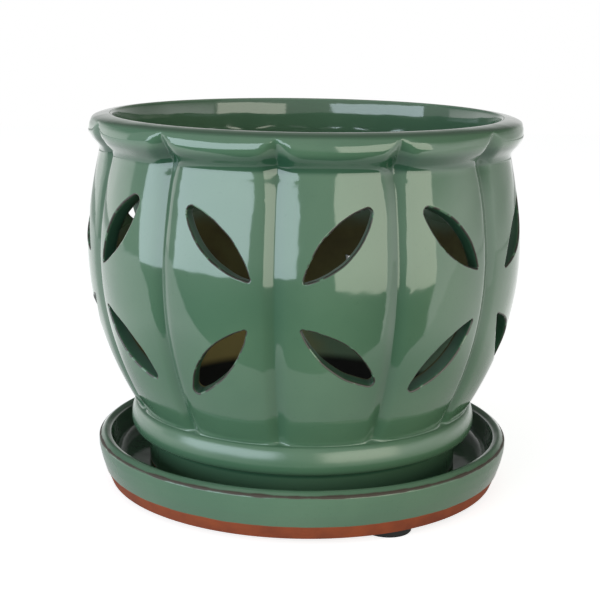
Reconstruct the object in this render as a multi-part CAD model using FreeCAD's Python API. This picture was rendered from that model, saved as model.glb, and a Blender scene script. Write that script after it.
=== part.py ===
# A glazed orchid pot with leaf-shaped air slots. It stands in its own saucer on three rubber pads.
# Millimetres, +Z up. The origin is on the pot's axis, at the level where the pads meet the table.
# Angles round the axis are in degrees from -Y towards +X. A groove between two lobes faces -Y.
import FreeCAD, Part
import math
import os

os.makedirs("parts", exist_ok=True)

# Pot: each height is stacked on the one below it, and each width steps from its neighbour's
WALL = 6.8
FLOOR = 8.0
BEAD_DIAMETER = 153.0
BEAD_HEIGHT = 13.3
BEAD_ROUNDING = 2.4
BEAD_CROWN = 0.5
FOOT_HEIGHT = 14.8
FOOT_STEP = 7.5
FOOT_RING_WIDTH = 9.0
FOOT_RECESS = 3.0
FOOT_ROUNDING = 1.5
DRAIN_DIAMETER = 16.0
LOBE_FOOT_STEP = 2.3
CREASE_STEP = 2.2
LOWER_WALL_HEIGHT = 72.1
BELLY_DIAMETER = 190.5
UPPER_WALL_HEIGHT = 39.4
NECK_DIAMETER = 179.0
COLLAR_STEP = 3.8
COLLAR_RISE = 9.0
RIM_STEP = 1.1
RIM_RISE = 4.6
CREST_STEP = 5.0
CREST_RISE = 1.8
MOUTH_ROUNDING = 3.2
INNER_CORNER_ROUNDING = 16.0

# Lobes and the grooves between them
LOBE_COUNT = 12
GROOVE_DEPTH = 3.2
COLLAR_NOTCH_DEPTH = 4.8
LOWER_SWELL_POWER = 2.1
UPPER_DRAW_POWER = 1.6

# Leaf-shaped slots, two through each lobe
SLOT_LENGTH = 38.5
SLOT_WIDTH = 11.6
SLOT_INNER_TIP_ROUNDING = 1.0
SLOT_OUTER_TIP_ROUNDING = 2.4
SLOT_LEAN = 45.0
SLOT_BELOW_BELLY = 33.5
SLOT_ABOVE_BELLY = 12.5

# Saucer
SAUCER_GAP = 9.4
SAUCER_RIM_WIDTH = 5.6
SAUCER_BASE_STEP = 5.3
SAUCER_BASE_FLARE = 2.3
SAUCER_BARE_BAND = 5.6
SAUCER_HEIGHT = 21.3
SAUCER_FLOOR = 6.5
SAUCER_RIM_EDGE_DROP = 1.4
SAUCER_WIDEST_DROP = 4.3
SAUCER_INNER_ROUNDING = 7.0
SAUCER_WALL_TAPER = 1.6
# How far the side has flared out by half its height
SAUCER_SIDE_SHARE = 0.72

# Rubber pads under the saucer
PAD_DIAMETER = 20.0
PAD_THICKNESS = 2.5
PAD_EDGE_ROUNDING = 0.5
PAD_INSET = 10.2
PAD_FIRST_ANGLE = 35.0
PAD_NAMES = ("pad_front_right", "pad_back", "pad_left")

# What every cut runs past the material, the step used to measure a slope, and the spans that the
# curve of the inside is drawn through
OVERRUN = 10.0
SLOPE_STEP = 1.0
CAVITY_STEPS = 6

# Sections of the lobed wall. The first number is the height as a share of the way from the lower
# named level to the upper one, the second the groove's depth as a share of the named depth, the
# third how far the flat of the lobe reaches towards the groove, the fourth how far the end of the
# flat has dropped towards the groove's bottom.
LOWER_WALL_SHARES = ((0.0, 0.45, 0.80, 0.48), (0.14, 0.75, 0.80, 0.48), (0.32, 0.95, 0.80, 0.48),
                     (0.55, 1.0, 0.80, 0.48), (0.78, 1.0, 0.80, 0.48), (1.0, 1.0, 0.80, 0.48))
UPPER_WALL_SHARES = ((0.30, 1.0, 0.80, 0.48), (0.60, 0.95, 0.80, 0.48), (0.84, 0.90, 0.79, 0.46))
NECK_SHARES = ((0.0, 0.65, 0.76, 0.38),)
COLLAR_SHARES = ((0.50, 0.92, 0.76, 0.26), (1.0, 1.0, 0.76, 0.22))
# How far the radius has grown from the neck's to the collar's at each collar section
COLLAR_SWELL_SHARES = (0.62, 1.0)
RIM_SHARES = ((0.55, 0.55, 0.77, 0.22), (1.0, 0.0, 0.80, 0.22))
# How far the radius has shrunk from the collar's to the rim's at each rim section
RIM_DRAW_SHARES = (0.22, 1.0)
# The outer half of the rim's top drops to the rim's edge on an arc through this share
RIM_TOP_SHARE = 0.62

# Sizes that follow: radii round the axis, and heights above the underside of the foot
BEAD_BOTTOM = FOOT_HEIGHT
BEAD_TOP = BEAD_BOTTOM + BEAD_HEIGHT
BELLY_Z = BEAD_TOP + LOWER_WALL_HEIGHT
NECK_Z = BELLY_Z + UPPER_WALL_HEIGHT
COLLAR_Z = NECK_Z + COLLAR_RISE
RIM_Z = COLLAR_Z + RIM_RISE
TOP_Z = RIM_Z + CREST_RISE
BEAD_RADIUS = BEAD_DIAMETER / 2
FOOT_RADIUS = BEAD_RADIUS - FOOT_STEP
LOBE_FOOT_RADIUS = BEAD_RADIUS - LOBE_FOOT_STEP
CREASE_RADIUS = LOBE_FOOT_RADIUS - CREASE_STEP
BELLY_RADIUS = BELLY_DIAMETER / 2
NECK_RADIUS = NECK_DIAMETER / 2
COLLAR_RADIUS = NECK_RADIUS + COLLAR_STEP
RIM_RADIUS = COLLAR_RADIUS - RIM_STEP
CREST_RADIUS = RIM_RADIUS - CREST_STEP
MOUTH_RADIUS = NECK_RADIUS - WALL
HALF_LOBE = 180.0 / LOBE_COUNT
SLOT_HEIGHTS = (BELLY_Z - SLOT_BELOW_BELLY, BELLY_Z + SLOT_ABOVE_BELLY)
SAUCER_RADIUS = BEAD_RADIUS + SAUCER_GAP + SAUCER_RIM_WIDTH
SAUCER_BASE_RADIUS = SAUCER_RADIUS - SAUCER_BASE_STEP
SAUCER_RIM_EDGE_Z = SAUCER_HEIGHT - SAUCER_RIM_EDGE_DROP
SAUCER_WIDEST_Z = SAUCER_HEIGHT - SAUCER_WIDEST_DROP
PAD_CIRCLE_RADIUS = SAUCER_BASE_RADIUS - PAD_INSET
FOOT_Z = PAD_THICKNESS + SAUCER_FLOOR


def flat(radius, height):
    """A point of an outline in the XZ plane, before it is turned round the axis."""
    return FreeCAD.Vector(radius, 0, height)


def line(start, end):
    return Part.LineSegment(start, end).toShape()


def arc(start, middle, end):
    return Part.Arc(start, middle, end).toShape()


def corner(start, tip, end):
    """An arc from start to end that rounds off the corner at tip, for legs of equal length."""
    chord_middle = (start + end) * 0.5
    half_chord = (end - start).Length / 2
    leg = (tip - start).Length
    reach = (tip - chord_middle).Length
    radius = half_chord * leg / reach
    centre = tip + (chord_middle - tip) * (math.hypot(radius, leg) / reach)
    return arc(start, centre + (tip - centre) * (radius / (tip - centre).Length), end)


def turned(edges):
    """Turn a closed outline in the XZ plane once round the Z axis into a solid."""
    face = Part.Face(Part.Wire(edges))
    return face.revolve(FreeCAD.Vector(0, 0, 0), FreeCAD.Vector(0, 0, 1), 360)


def crest_radius(height):
    """Radius of the lobes' crests between their foot, just over the bead, and the neck."""
    if height < BELLY_Z:
        share = (height - BEAD_TOP) / LOWER_WALL_HEIGHT
        return BELLY_RADIUS - (BELLY_RADIUS - LOBE_FOOT_RADIUS) * (1 - share) ** LOWER_SWELL_POWER
    share = (height - BELLY_Z) / UPPER_WALL_HEIGHT
    return BELLY_RADIUS - (BELLY_RADIUS - NECK_RADIUS) * share ** UPPER_DRAW_POWER


def wall_sections():
    """Rows of height, crest radius, groove depth, lobe flat and its drop, from the crease to the rim."""
    rows = []
    for share, depth, *lobe_shares in LOWER_WALL_SHARES:
        height = BEAD_TOP + share * LOWER_WALL_HEIGHT
        rows.append((height, crest_radius(height), depth * GROOVE_DEPTH, *lobe_shares))
    for share, depth, *lobe_shares in UPPER_WALL_SHARES:
        height = BELLY_Z + share * UPPER_WALL_HEIGHT
        rows.append((height, crest_radius(height), depth * GROOVE_DEPTH, *lobe_shares))
    for share, depth, *lobe_shares in NECK_SHARES:
        rows.append((NECK_Z, NECK_RADIUS, depth * COLLAR_NOTCH_DEPTH, *lobe_shares))
    for (share, depth, *lobe_shares), swell in zip(COLLAR_SHARES, COLLAR_SWELL_SHARES):
        radius = NECK_RADIUS + swell * COLLAR_STEP
        rows.append((NECK_Z + share * COLLAR_RISE, radius, depth * COLLAR_NOTCH_DEPTH, *lobe_shares))
    for (share, depth, *lobe_shares), draw in zip(RIM_SHARES, RIM_DRAW_SHARES):
        radius = COLLAR_RADIUS - draw * RIM_STEP
        rows.append((COLLAR_Z + share * RIM_RISE, radius, depth * COLLAR_NOTCH_DEPTH, *lobe_shares))
    return rows


def around(radius, angle, height):
    """The point at a radius and an angle round the axis."""
    turn = math.radians(angle)
    return FreeCAD.Vector(radius * math.sin(turn), -radius * math.cos(turn), height)


def tangent_arc(start, direction, end):
    """An arc that leaves start along direction and finishes at end."""
    chord = end - start
    across = FreeCAD.Vector(-direction.y, direction.x, 0)
    bend = math.atan2(chord.dot(across), chord.dot(direction))
    half_way = math.hypot(chord.x, chord.y) / (2 * math.cos(bend / 2))
    aim = direction * math.cos(bend / 2) + across * math.sin(bend / 2)
    return arc(start, start + aim * half_way, end)


def lobe_edges(index, height, crest, depth, flat_share, drop_share):
    """The lobe's flat and its two rolled sides, each side running down into a groove."""
    middle = HALF_LOBE * (2 * index + 1)
    reach = flat_share * HALF_LOBE
    shoulder = crest - depth * drop_share
    left = around(shoulder, middle - reach, height)
    top = around(crest, middle, height)
    right = around(shoulder, middle + reach, height)
    flat_edge = arc(left, top, right)
    leaving = flat_edge.tangentAt(flat_edge.LastParameter)
    arriving = flat_edge.tangentAt(flat_edge.FirstParameter) * -1
    groove = crest - depth
    rise = tangent_arc(left, arriving, around(groove, middle - HALF_LOBE, height))
    fall = tangent_arc(right, leaving, around(groove, middle + HALF_LOBE, height))
    return [rise, flat_edge, fall]


def lobed_outline(height, crest, depth, flat_share, drop_share):
    """One level outline of the wall, a closed wire of all its lobes."""
    edges = []
    for index in range(LOBE_COUNT):
        edges += lobe_edges(index, height, crest, depth, flat_share, drop_share)
    return Part.Wire(Part.__sortEdges__(edges))


def lobed_wall():
    return Part.makeLoft([lobed_outline(*row) for row in wall_sections()], True, False)


def foot_and_bead():
    """The round foot with its cove, and the bead, which ends in a crease under the lobes."""
    foot = FOOT_RADIUS
    bead = BEAD_RADIUS - BEAD_CROWN
    middle = (BEAD_BOTTOM + BEAD_TOP) / 2
    corners = [flat(0, 0), flat(foot - FOOT_ROUNDING, 0), flat(foot, FOOT_ROUNDING),
               flat(foot, BEAD_BOTTOM - BEAD_ROUNDING), flat(foot + BEAD_ROUNDING, BEAD_BOTTOM),
               flat(bead - BEAD_ROUNDING, BEAD_BOTTOM), flat(bead, BEAD_BOTTOM + BEAD_ROUNDING),
               flat(bead, BEAD_TOP - BEAD_ROUNDING), flat(CREASE_RADIUS, BEAD_TOP), flat(0, BEAD_TOP)]
    return turned([
        line(corners[0], corners[1]),
        corner(corners[1], flat(foot, 0), corners[2]),
        line(corners[2], corners[3]),
        corner(corners[3], flat(foot, BEAD_BOTTOM), corners[4]),
        line(corners[4], corners[5]),
        corner(corners[5], flat(bead, BEAD_BOTTOM), corners[6]),
        arc(corners[6], flat(bead + BEAD_CROWN, middle), corners[7]),
        line(corners[7], corners[8]),
        line(corners[8], corners[9]),
        line(corners[9], corners[0])])


def rim_top():
    """The smooth round top of the rim, above the last lobed outline."""
    bulge = flat(RIM_RADIUS - CREST_STEP * (1 - RIM_TOP_SHARE), RIM_Z + CREST_RISE * RIM_TOP_SHARE)
    return turned([
        line(flat(0, RIM_Z), flat(RIM_RADIUS, RIM_Z)),
        arc(flat(RIM_RADIUS, RIM_Z), bulge, flat(CREST_RADIUS, TOP_Z)),
        line(flat(CREST_RADIUS, TOP_Z), flat(0, TOP_Z)),
        line(flat(0, TOP_Z), flat(0, RIM_Z))])


def cavity():
    """The inside of the pot: a flat floor, a wall parallel to the lobes' crests, a straight mouth."""
    floor = FOOT_RECESS + FLOOR
    low = BEAD_TOP
    heights = [low + step * (NECK_Z - low) / CAVITY_STEPS for step in range(CAVITY_STEPS + 1)]
    side = [flat(crest_radius(height) - WALL, height) for height in heights]
    curve = Part.BSplineCurve()
    curve.interpolate(side)
    floor_edge = side[0].x - INNER_CORNER_ROUNDING
    mouth_top = TOP_Z - MOUTH_ROUNDING
    outside = MOUTH_RADIUS + MOUTH_ROUNDING
    sag = INNER_CORNER_ROUNDING * (1 - math.sqrt(0.5))
    return turned([
        line(flat(0, floor), flat(floor_edge, floor)),
        arc(flat(floor_edge, floor), flat(side[0].x - sag, floor + (low - floor) * (1 - math.sqrt(0.5))),
            side[0]),
        curve.toShape(),
        line(side[-1], flat(MOUTH_RADIUS, mouth_top)),
        corner(flat(MOUTH_RADIUS, mouth_top), flat(MOUTH_RADIUS, TOP_Z), flat(outside, TOP_Z)),
        line(flat(outside, TOP_Z), flat(outside, TOP_Z + OVERRUN)),
        line(flat(outside, TOP_Z + OVERRUN), flat(0, TOP_Z + OVERRUN)),
        line(flat(0, TOP_Z + OVERRUN), flat(0, floor))])


def leaf():
    """A leaf outline in the XZ plane: a sharp tip below, a rounder one above, and two long arcs that
    touch both tips."""
    half_width = SLOT_WIDTH / 2
    end = SLOT_LENGTH / 2
    sharp = SLOT_INNER_TIP_ROUNDING
    blunt = SLOT_OUTER_TIP_ROUNDING
    low = sharp - end
    high = end - blunt
    spread = (blunt - sharp) / (high - low)
    half_span = (high - low - spread * (sharp + blunt)) / 2
    slack = half_width - sharp - spread * half_span
    square = half_width ** 2 + half_span ** 2 - sharp ** 2
    radius = square / (slack + math.sqrt(slack ** 2 - spread ** 2 * square))
    centre = flat(half_width - radius, low + spread * radius + half_span)
    right_low = centre + (flat(0, low) - centre) * (radius / (radius - sharp))
    right_high = centre + (flat(0, high) - centre) * (radius / (radius - blunt))
    left_low = flat(-right_low.x, right_low.z)
    left_high = flat(-right_high.x, right_high.z)
    return Part.Wire([
        arc(right_low, flat(half_width, centre.z), right_high),
        arc(right_high, flat(0, end), left_high),
        arc(left_high, flat(-half_width, centre.z), left_low),
        arc(left_low, flat(0, -end), right_low)])


def slot_cutter(height, lean, angle):
    """A leaf-shaped bar square to the wall at a height, its round tip leaning by an angle."""
    slope = (crest_radius(height + SLOPE_STEP) - crest_radius(height - SLOPE_STEP)) / (2 * SLOPE_STEP)
    tilt = math.degrees(math.atan(slope))
    depth = WALL + 2 * OVERRUN
    bar = Part.Face(leaf()).extrude(FreeCAD.Vector(0, -depth, 0))
    bar.translate(FreeCAD.Vector(0, WALL + OVERRUN, 0))
    bar.rotate(FreeCAD.Vector(0, 0, 0), FreeCAD.Vector(0, 1, 0), lean)
    bar.rotate(FreeCAD.Vector(0, 0, 0), FreeCAD.Vector(1, 0, 0), tilt)
    bar.translate(FreeCAD.Vector(0, -crest_radius(height), height))
    bar.rotate(FreeCAD.Vector(0, 0, 0), FreeCAD.Vector(0, 0, 1), angle)
    return bar


def slot_cutters():
    """Two slots in each lobe, leaning in pairs: four of them make a cross on every second groove, with
    their sharp tips towards its middle."""
    bars = []
    for index in range(LOBE_COUNT):
        angle = HALF_LOBE * (2 * index + 1)
        hand = 1 if index % 2 == 0 else -1
        for level, height in enumerate(SLOT_HEIGHTS):
            lean = hand * SLOT_LEAN if level else 180 - hand * SLOT_LEAN
            bars.append(slot_cutter(height, lean, angle))
    return bars


def make_pot():
    body = foot_and_bead().fuse([lobed_wall(), rim_top()])
    recess = Part.makeCylinder(FOOT_RADIUS - FOOT_RING_WIDTH, FOOT_RECESS + OVERRUN,
                               FreeCAD.Vector(0, 0, -OVERRUN))
    drain = Part.makeCylinder(DRAIN_DIAMETER / 2, FLOOR + 2 * OVERRUN,
                              FreeCAD.Vector(0, 0, FOOT_RECESS - OVERRUN))
    pot = body.cut([cavity(), recess, drain] + slot_cutters())
    pot = pot.removeSplitter()
    pot.translate(FreeCAD.Vector(0, 0, FOOT_Z))
    return pot


def make_saucer():
    """A shallow dish with a bare lower band, a flared side and a rounded rim."""
    base = SAUCER_BASE_RADIUS
    widest = SAUCER_RADIUS
    band = base + SAUCER_BASE_FLARE
    inner = widest - SAUCER_RIM_WIDTH
    crest = (widest + inner) / 2
    foot_of_wall = inner - SAUCER_WALL_TAPER
    edge = widest - SAUCER_RIM_EDGE_DROP / 2
    lip = SAUCER_HEIGHT - (crest - inner)
    side_middle = flat(band + (widest - band) * SAUCER_SIDE_SHARE,
                       (SAUCER_BARE_BAND + SAUCER_WIDEST_Z) / 2)
    rim_middle = flat(widest, (SAUCER_WIDEST_Z + SAUCER_RIM_EDGE_Z) / 2)
    floor_start = flat(foot_of_wall - SAUCER_INNER_ROUNDING, SAUCER_FLOOR)
    wall_start = flat(foot_of_wall, SAUCER_FLOOR + SAUCER_INNER_ROUNDING)
    saucer = turned([
        line(flat(0, 0), flat(base, 0)),
        line(flat(base, 0), flat(band, SAUCER_BARE_BAND)),
        arc(flat(band, SAUCER_BARE_BAND), side_middle, flat(widest, SAUCER_WIDEST_Z)),
        arc(flat(widest, SAUCER_WIDEST_Z), rim_middle, flat(edge, SAUCER_RIM_EDGE_Z)),
        line(flat(edge, SAUCER_RIM_EDGE_Z), flat(crest, SAUCER_HEIGHT)),
        corner(flat(crest, SAUCER_HEIGHT), flat(inner, SAUCER_HEIGHT), flat(inner, lip)),
        line(flat(inner, lip), wall_start),
        corner(wall_start, flat(foot_of_wall, SAUCER_FLOOR), floor_start),
        line(floor_start, flat(0, SAUCER_FLOOR)),
        line(flat(0, SAUCER_FLOOR), flat(0, 0))])
    saucer.translate(FreeCAD.Vector(0, 0, PAD_THICKNESS))
    return saucer


def make_pad(angle):
    """A round rubber pad with its lower edge rounded off."""
    radius = PAD_DIAMETER / 2
    pad = turned([
        line(flat(0, 0), flat(radius - PAD_EDGE_ROUNDING, 0)),
        corner(flat(radius - PAD_EDGE_ROUNDING, 0), flat(radius, 0), flat(radius, PAD_EDGE_ROUNDING)),
        line(flat(radius, PAD_EDGE_ROUNDING), flat(radius, PAD_THICKNESS)),
        line(flat(radius, PAD_THICKNESS), flat(0, PAD_THICKNESS)),
        line(flat(0, PAD_THICKNESS), flat(0, 0))])
    pad.translate(around(PAD_CIRCLE_RADIUS, angle, 0))
    return pad


def save(shape, name):
    shape.exportStep(os.path.join("parts", name + ".step"))
    box = shape.BoundBox
    print(name, "valid", shape.isValid(), "solids", len(shape.Solids), "cm3", round(shape.Volume / 1000, 1),
          "low", round(box.ZMin, 2), "high", round(box.ZMax, 2), "width", round(box.XLength, 2))


save(make_pot(), "pot")
save(make_saucer(), "saucer")
for number, pad_name in enumerate(PAD_NAMES):
    save(make_pad(PAD_FIRST_ANGLE + number * 360.0 / len(PAD_NAMES)), pad_name)
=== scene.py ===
# %% [markdown]
# # A glazed orchid pot in its saucer
# The pot is one fired piece with twelve lobes and twenty-four leaf-shaped air slots. It stands in a shallow
# saucer on three rubber pads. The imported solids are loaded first, because they fix every size and place, and
# the finer pieces made here then take the places of the plain solids.

# %% Load the frame
import bisect
import math
import random

import bmesh
import bpy
from mathutils import Matrix, Vector, noise


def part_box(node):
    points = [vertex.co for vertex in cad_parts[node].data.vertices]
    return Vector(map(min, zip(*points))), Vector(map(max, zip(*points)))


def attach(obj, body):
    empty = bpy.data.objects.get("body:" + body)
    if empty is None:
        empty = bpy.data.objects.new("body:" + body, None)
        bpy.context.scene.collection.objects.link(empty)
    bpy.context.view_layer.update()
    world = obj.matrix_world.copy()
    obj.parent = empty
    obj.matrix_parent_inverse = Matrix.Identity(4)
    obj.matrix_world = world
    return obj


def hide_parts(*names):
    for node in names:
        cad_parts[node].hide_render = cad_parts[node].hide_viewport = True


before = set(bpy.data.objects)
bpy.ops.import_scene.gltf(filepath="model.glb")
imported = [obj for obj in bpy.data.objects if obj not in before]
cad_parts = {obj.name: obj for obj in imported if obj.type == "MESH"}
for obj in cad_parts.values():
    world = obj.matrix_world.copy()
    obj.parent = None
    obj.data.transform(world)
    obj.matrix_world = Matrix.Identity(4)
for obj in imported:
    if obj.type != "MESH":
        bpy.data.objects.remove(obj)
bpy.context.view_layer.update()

# %% [markdown]
# ## Sizes
# All sizes below are in millimetres, and heights on the pot count from the underside of its foot. The frame
# says how high the foot stands. One function turns a radius, an angle and a height into a point in metres,
# so that the rest of the script can think as a potter does: round the axis and up.

# %% Sizes and the way round the axis
MM = 0.001
FOOT_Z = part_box("pot")[0].z / MM
SAUCER_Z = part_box("saucer")[0].z / MM
POT_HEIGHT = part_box("pot")[1].z / MM - FOOT_Z
print("foot at", round(FOOT_Z, 2), "pot height", round(POT_HEIGHT, 2), "saucer at", round(SAUCER_Z, 2))


def polar(radius, angle, height):
    """A point in metres from a radius and a height in millimetres. Angle 0 faces -Y, and +90 degrees +X."""
    return Vector((radius * math.sin(angle), -radius * math.cos(angle), height)) * MM


def angle_of(point):
    return math.atan2(point.x, -point.y)


def mix(low, high, share):
    return low + (high - low) * share


# %% [markdown]
# ## Smooth curves
# A potter's profile has no kinks. Straight runs between a few measured points would show as facets in the
# glaze, and an ordinary spline can swing past its points. This curve has a level tangent wherever the points
# turn back, so it runs through all of them and never overshoots.

# %% A curve through points, a bent line and rounded corners
def curve(points):
    """A function that runs smoothly through (x, y) points and never swings past them."""
    xs, ys = zip(*points)
    rises = [(y1 - y0) / (x1 - x0) for x0, x1, y0, y1 in zip(xs, xs[1:], ys, ys[1:])]
    slopes = [rises[0]]
    for before, after in zip(rises, rises[1:]):
        slopes.append(0 if before * after <= 0 else 2 * before * after / (before + after))
    slopes.append(rises[-1])

    def value(x):
        at = max(0, min(bisect.bisect_right(xs, x) - 1, len(rises) - 1))
        span = xs[at + 1] - xs[at]
        t = min(1, max(0, (x - xs[at]) / span))
        return ((1 + 2 * t) * (1 - t) ** 2 * ys[at] + t * (1 - t) ** 2 * span * slopes[at]
                + t * t * (3 - 2 * t) * ys[at + 1] - t * t * (1 - t) * span * slopes[at + 1])

    return value


def bent(start, aim_out, aim_in, end, steps):
    """Points on a bent line that leaves start towards aim_out and comes in to end from aim_in."""
    a, b, c, d = (Vector(point) for point in (start, aim_out, aim_in, end))
    line = []
    for step in range(steps + 1):
        t = step / steps
        line.append(a * (1 - t) ** 3 + b * 3 * t * (1 - t) ** 2 + c * 3 * t * t * (1 - t) + d * t ** 3)
    return line


def rounded(corners, turn=12):
    """An outline of (radius, height) points from corners (radius, height, rounding)."""
    line = []
    for number, (radius, height, rounding) in enumerate(corners):
        here = Vector((radius, height))
        if rounding == 0 or number in (0, len(corners) - 1):
            line.append(here)
            continue
        back = (Vector(corners[number - 1][:2]) - here).normalized()
        ahead = (Vector(corners[number + 1][:2]) - here).normalized()
        half = back.angle(ahead) / 2
        centre = here + (back + ahead).normalized() * (rounding / math.sin(half))
        first = here + back * (rounding / math.tan(half)) - centre
        last = here + ahead * (rounding / math.tan(half)) - centre
        swing = first.angle_signed(last)
        steps = max(2, math.ceil(abs(math.degrees(swing)) / turn))
        for step in range(steps + 1):
            line.append(centre + Matrix.Rotation(-swing * step / steps, 2) @ first)
    return line


# %% [markdown]
# ## The wall of the pot
# The real wall was pressed into a mould: each lobe is a wide flat arc whose sides roll down into a narrow
# groove, and the grooves run up through the neck and die out under the rim. A modifier could not do this, so
# the wall is a formula. For any angle and height it gives the radius: one arc across the lobe, cut on each
# side by a straight flank down to the groove, with both corners softened as thick glaze softens them. The
# inside is smooth and round, as the photo shows it through the mouth, and flares a little near the top.

# %% The lobed wall as a formula
LOBES = 12
HALF_LOBE = math.pi / LOBES
WALL = 6.8
BEAD_TOP = 28.1
BELLY_Z = 100.2
NECK_Z = 139.6
COLLAR_Z = 148.6
RIM_Z = 153.2
LOBE_FOOT_RADIUS = 74.2
BELLY_RADIUS = 95.25
NECK_RADIUS = 89.5
COLLAR_RADIUS = 94.0
RIM_RADIUS = 92.6
CREST_RADIUS = 85.0
MOUTH_RADIUS = NECK_RADIUS - WALL
MOUTH_Z = 153.6
FLARE = 0.82
FLARE_START = 145.2
CREASE_Z = 29.4
GROOVE_DEPTH = 3.2
NOTCH_DEPTH = 4.8
GROOVE_SOFTNESS = 0.013
SHOULDER_SOFTNESS = 0.02
SWELL_BELOW = 2.1
SWELL_ABOVE = 1.6
UNEVENNESS = 0.35
MERGE = 0.002 * MM

# Height, groove depth, how far the lobe's arc reaches before the flank and how far it has dropped there
GROOVES = (
    (BEAD_TOP, 0.62 * GROOVE_DEPTH, 0.80, 0.20 * GROOVE_DEPTH),
    (38.2, 0.86 * GROOVE_DEPTH, 0.80, 0.30 * GROOVE_DEPTH),
    (51.2, 0.95 * GROOVE_DEPTH, 0.81, 0.40 * GROOVE_DEPTH),
    (67.8, GROOVE_DEPTH, 0.82, 0.45 * GROOVE_DEPTH),
    (112.0, GROOVE_DEPTH, 0.82, 0.45 * GROOVE_DEPTH),
    (123.8, GROOVE_DEPTH, 0.82, 0.43 * GROOVE_DEPTH),
    (131.0, 1.02 * GROOVE_DEPTH, 0.80, 0.40 * GROOVE_DEPTH),
    (NECK_Z, 0.80 * NOTCH_DEPTH, 0.76, 0.24 * NOTCH_DEPTH),
    (144.1, NOTCH_DEPTH, 0.73, 0.20 * NOTCH_DEPTH),
    (147.2, 0.90 * NOTCH_DEPTH, 0.76, 0.16 * NOTCH_DEPTH),
    (149.6, 0.62 * NOTCH_DEPTH, 0.82, 0.10 * NOTCH_DEPTH),
    (151.6, 0.28 * NOTCH_DEPTH, 0.89, 0.04 * NOTCH_DEPTH),
    (RIM_Z, 0.0, 0.93, 0.0))
groove_depth, lobe_flat, lobe_drop = (curve([(row[0], row[i]) for row in GROOVES]) for i in (1, 2, 3))


def swelling(height):
    """The crests' radius from the foot of the lobes up to just under the neck."""
    if height < BELLY_Z:
        share = (height - BEAD_TOP) / (BELLY_Z - BEAD_TOP)
        return BELLY_RADIUS - (BELLY_RADIUS - LOBE_FOOT_RADIUS) * (1 - share) ** SWELL_BELOW
    share = (height - BELLY_Z) / (NECK_Z - BELLY_Z)
    return BELLY_RADIUS - (BELLY_RADIUS - NECK_RADIUS) * share ** SWELL_ABOVE


NECK_START = 136.0
collar = curve((
    (NECK_START - 2, swelling(NECK_START - 2)), (NECK_START, swelling(NECK_START)),
    (NECK_START + 2, swelling(NECK_START + 2)), (NECK_Z + 0.4, NECK_RADIUS + 0.05), (141.6, 89.95),
    (143.2, 91.1), (145.4, 92.8), (COLLAR_Z, COLLAR_RADIUS), (151.1, 93.6), (RIM_Z, RIM_RADIUS)))


def crest(height):
    """Radius of the lobes' crests."""
    return collar(height) if height > NECK_START else swelling(height)


def inner(height):
    """Radius of the inside of the wall, which is smooth and round and flares a little at the mouth."""
    flare = max(0, height - FLARE_START) / (MOUTH_Z - FLARE_START)
    return MOUTH_RADIUS + FLARE * flare ** 2 if height > NECK_Z else swelling(height) - WALL


def circle_radius(centre, radius, way):
    """How far out a ray from the axis leaves a circle."""
    along = centre.dot(way)
    return along + math.sqrt(max(0, radius * radius - centre.length_squared + along * along))


def soft_min(a, b, width):
    """The lesser of two numbers, with the corner between them rounded off."""
    near = max(0, 1 - abs(a - b) / width)
    return min(a, b) - near * near * width / 4


def wall_radius(angle, height):
    """Radius of the lobed wall: an arc across the lobe, cut by a straight flank down to the groove."""
    top, depth = crest(height), groove_depth(height)
    if depth < 0.01:
        return top
    away = abs((angle / (2 * HALF_LOBE)) % 1 * 2 - 1)
    away = max(0, 1 - math.hypot(1 - away, GROOVE_SOFTNESS))
    flat, shoulder = lobe_flat(height) * HALF_LOBE, top - lobe_drop(height)
    edge = Vector((shoulder * math.sin(flat), shoulder * math.cos(flat)))
    big = (edge.x ** 2 + (top - edge.y) ** 2) / (2 * (top - edge.y))
    turn = away * HALF_LOBE
    arc = circle_radius(Vector((0, top - big)), big, Vector((math.sin(turn), math.cos(turn))))
    flank = mix(top - depth, shoulder, (HALF_LOBE - turn) / (HALF_LOBE - flat))
    return soft_min(arc, flank, SHOULDER_SOFTNESS * depth ** 2)


def waviness(angle, lift, slow, share, fast):
    """A slow wave round the axis with a share of a faster one on it, from 0 to 1."""
    place = Vector((math.sin(angle), -math.cos(angle), lift))
    swell = noise.noise(place * slow) + share * noise.noise(place * fast)
    return min(1, max(0, 0.5 + 0.5 * swell))


def clay(radius, angle, height):
    """A point of the pot in metres, drawn in a little where the hand-finished wall is uneven."""
    drawn_in = UNEVENNESS * waviness(angle, height / 90, 1.7, 0.4, 5.3)
    return polar(radius - drawn_in, angle, FOOT_Z + height)


print("wall radius at the belly: crest", round(wall_radius(HALF_LOBE, BELLY_Z), 2),
      "groove", round(wall_radius(0, BELLY_Z), 2))

# %% [markdown]
# ## Rings
# A wall with two dozen leaf-shaped holes could be cut with a Boolean, but that leaves long thin faces that
# show as creases in a glossy glaze. Here every lobe is laid out in tiles, and each tile is a chain of rings:
# the first ring is the tile's border, and each next one is extruded from it and put in its place, over the
# lobe, round the lip of the slot, through the wall and out across the inside.

# %% Layers and rings
COLUMNS = 26
SIDE_ROWS = 16
CROWDING = 1.8
RING = 2 * (COLUMNS + SIDE_ROWS)

pot = bmesh.new()
spot = pot.verts.layers.int.new("spot")
thin = pot.verts.layers.float.new("thin")
pool = pot.verts.layers.float.new("pool")
inside = pot.verts.layers.float.new("inside")
MARKS = {"thin": thin, "pool": pool, "inside": inside}


def crowd(x):
    """Moves evenly spaced columns from -1 to 1 closer to both ends, where the grooves are."""
    return math.copysign(1 - (1 - abs(x)) ** CROWDING, x)


def put_on_wall(vert, angle, height):
    radius = wall_radius(angle, height)
    vert.co = clay(radius, angle, height)
    vert[pool] = min(1, max(0, (crest(height) - radius) / GROOVE_DEPTH))


def put_inside(vert, angle, height):
    vert.co = clay(inner(height), angle, height)
    vert[inside] = 1
    vert[pool] = 0


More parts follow.
